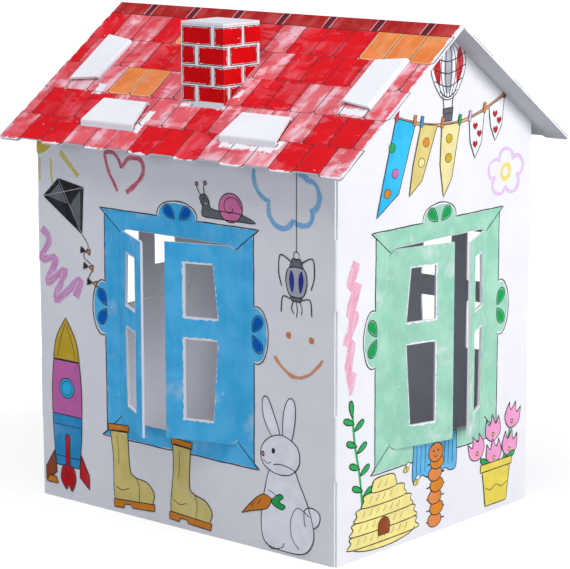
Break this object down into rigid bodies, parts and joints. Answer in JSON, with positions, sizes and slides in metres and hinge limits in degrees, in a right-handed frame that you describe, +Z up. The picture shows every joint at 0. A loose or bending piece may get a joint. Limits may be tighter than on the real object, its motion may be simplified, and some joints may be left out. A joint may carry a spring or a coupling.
{
  "type": "cardboard playhouse",
  "caption": "Child's playhouse folded from printed corrugated card: a wrap-round wall sheet with hinged shutters and a door, a gable roof locked by woven tabs, and a folded chimney with a lid.",
  "frame": {"origin": "bottom centre of the bounding box, on the floor", "axes": "+Z up, X along the ridge with the green-framed gable at +X, front wall facing -Y"},
  "size_m": [0.9328, 0.7647, 1.0153],
  "materials": {
    "wall_card": "matte printed",
    "roof_card": "matte printed",
    "chimney_card": "matte printed"
  },
  "bodies": {
    "root": {"wall_sheet": "wall_card", "roof_sheet": "roof_card", "chimney": "chimney_card"}
  },
  "joints": []
}
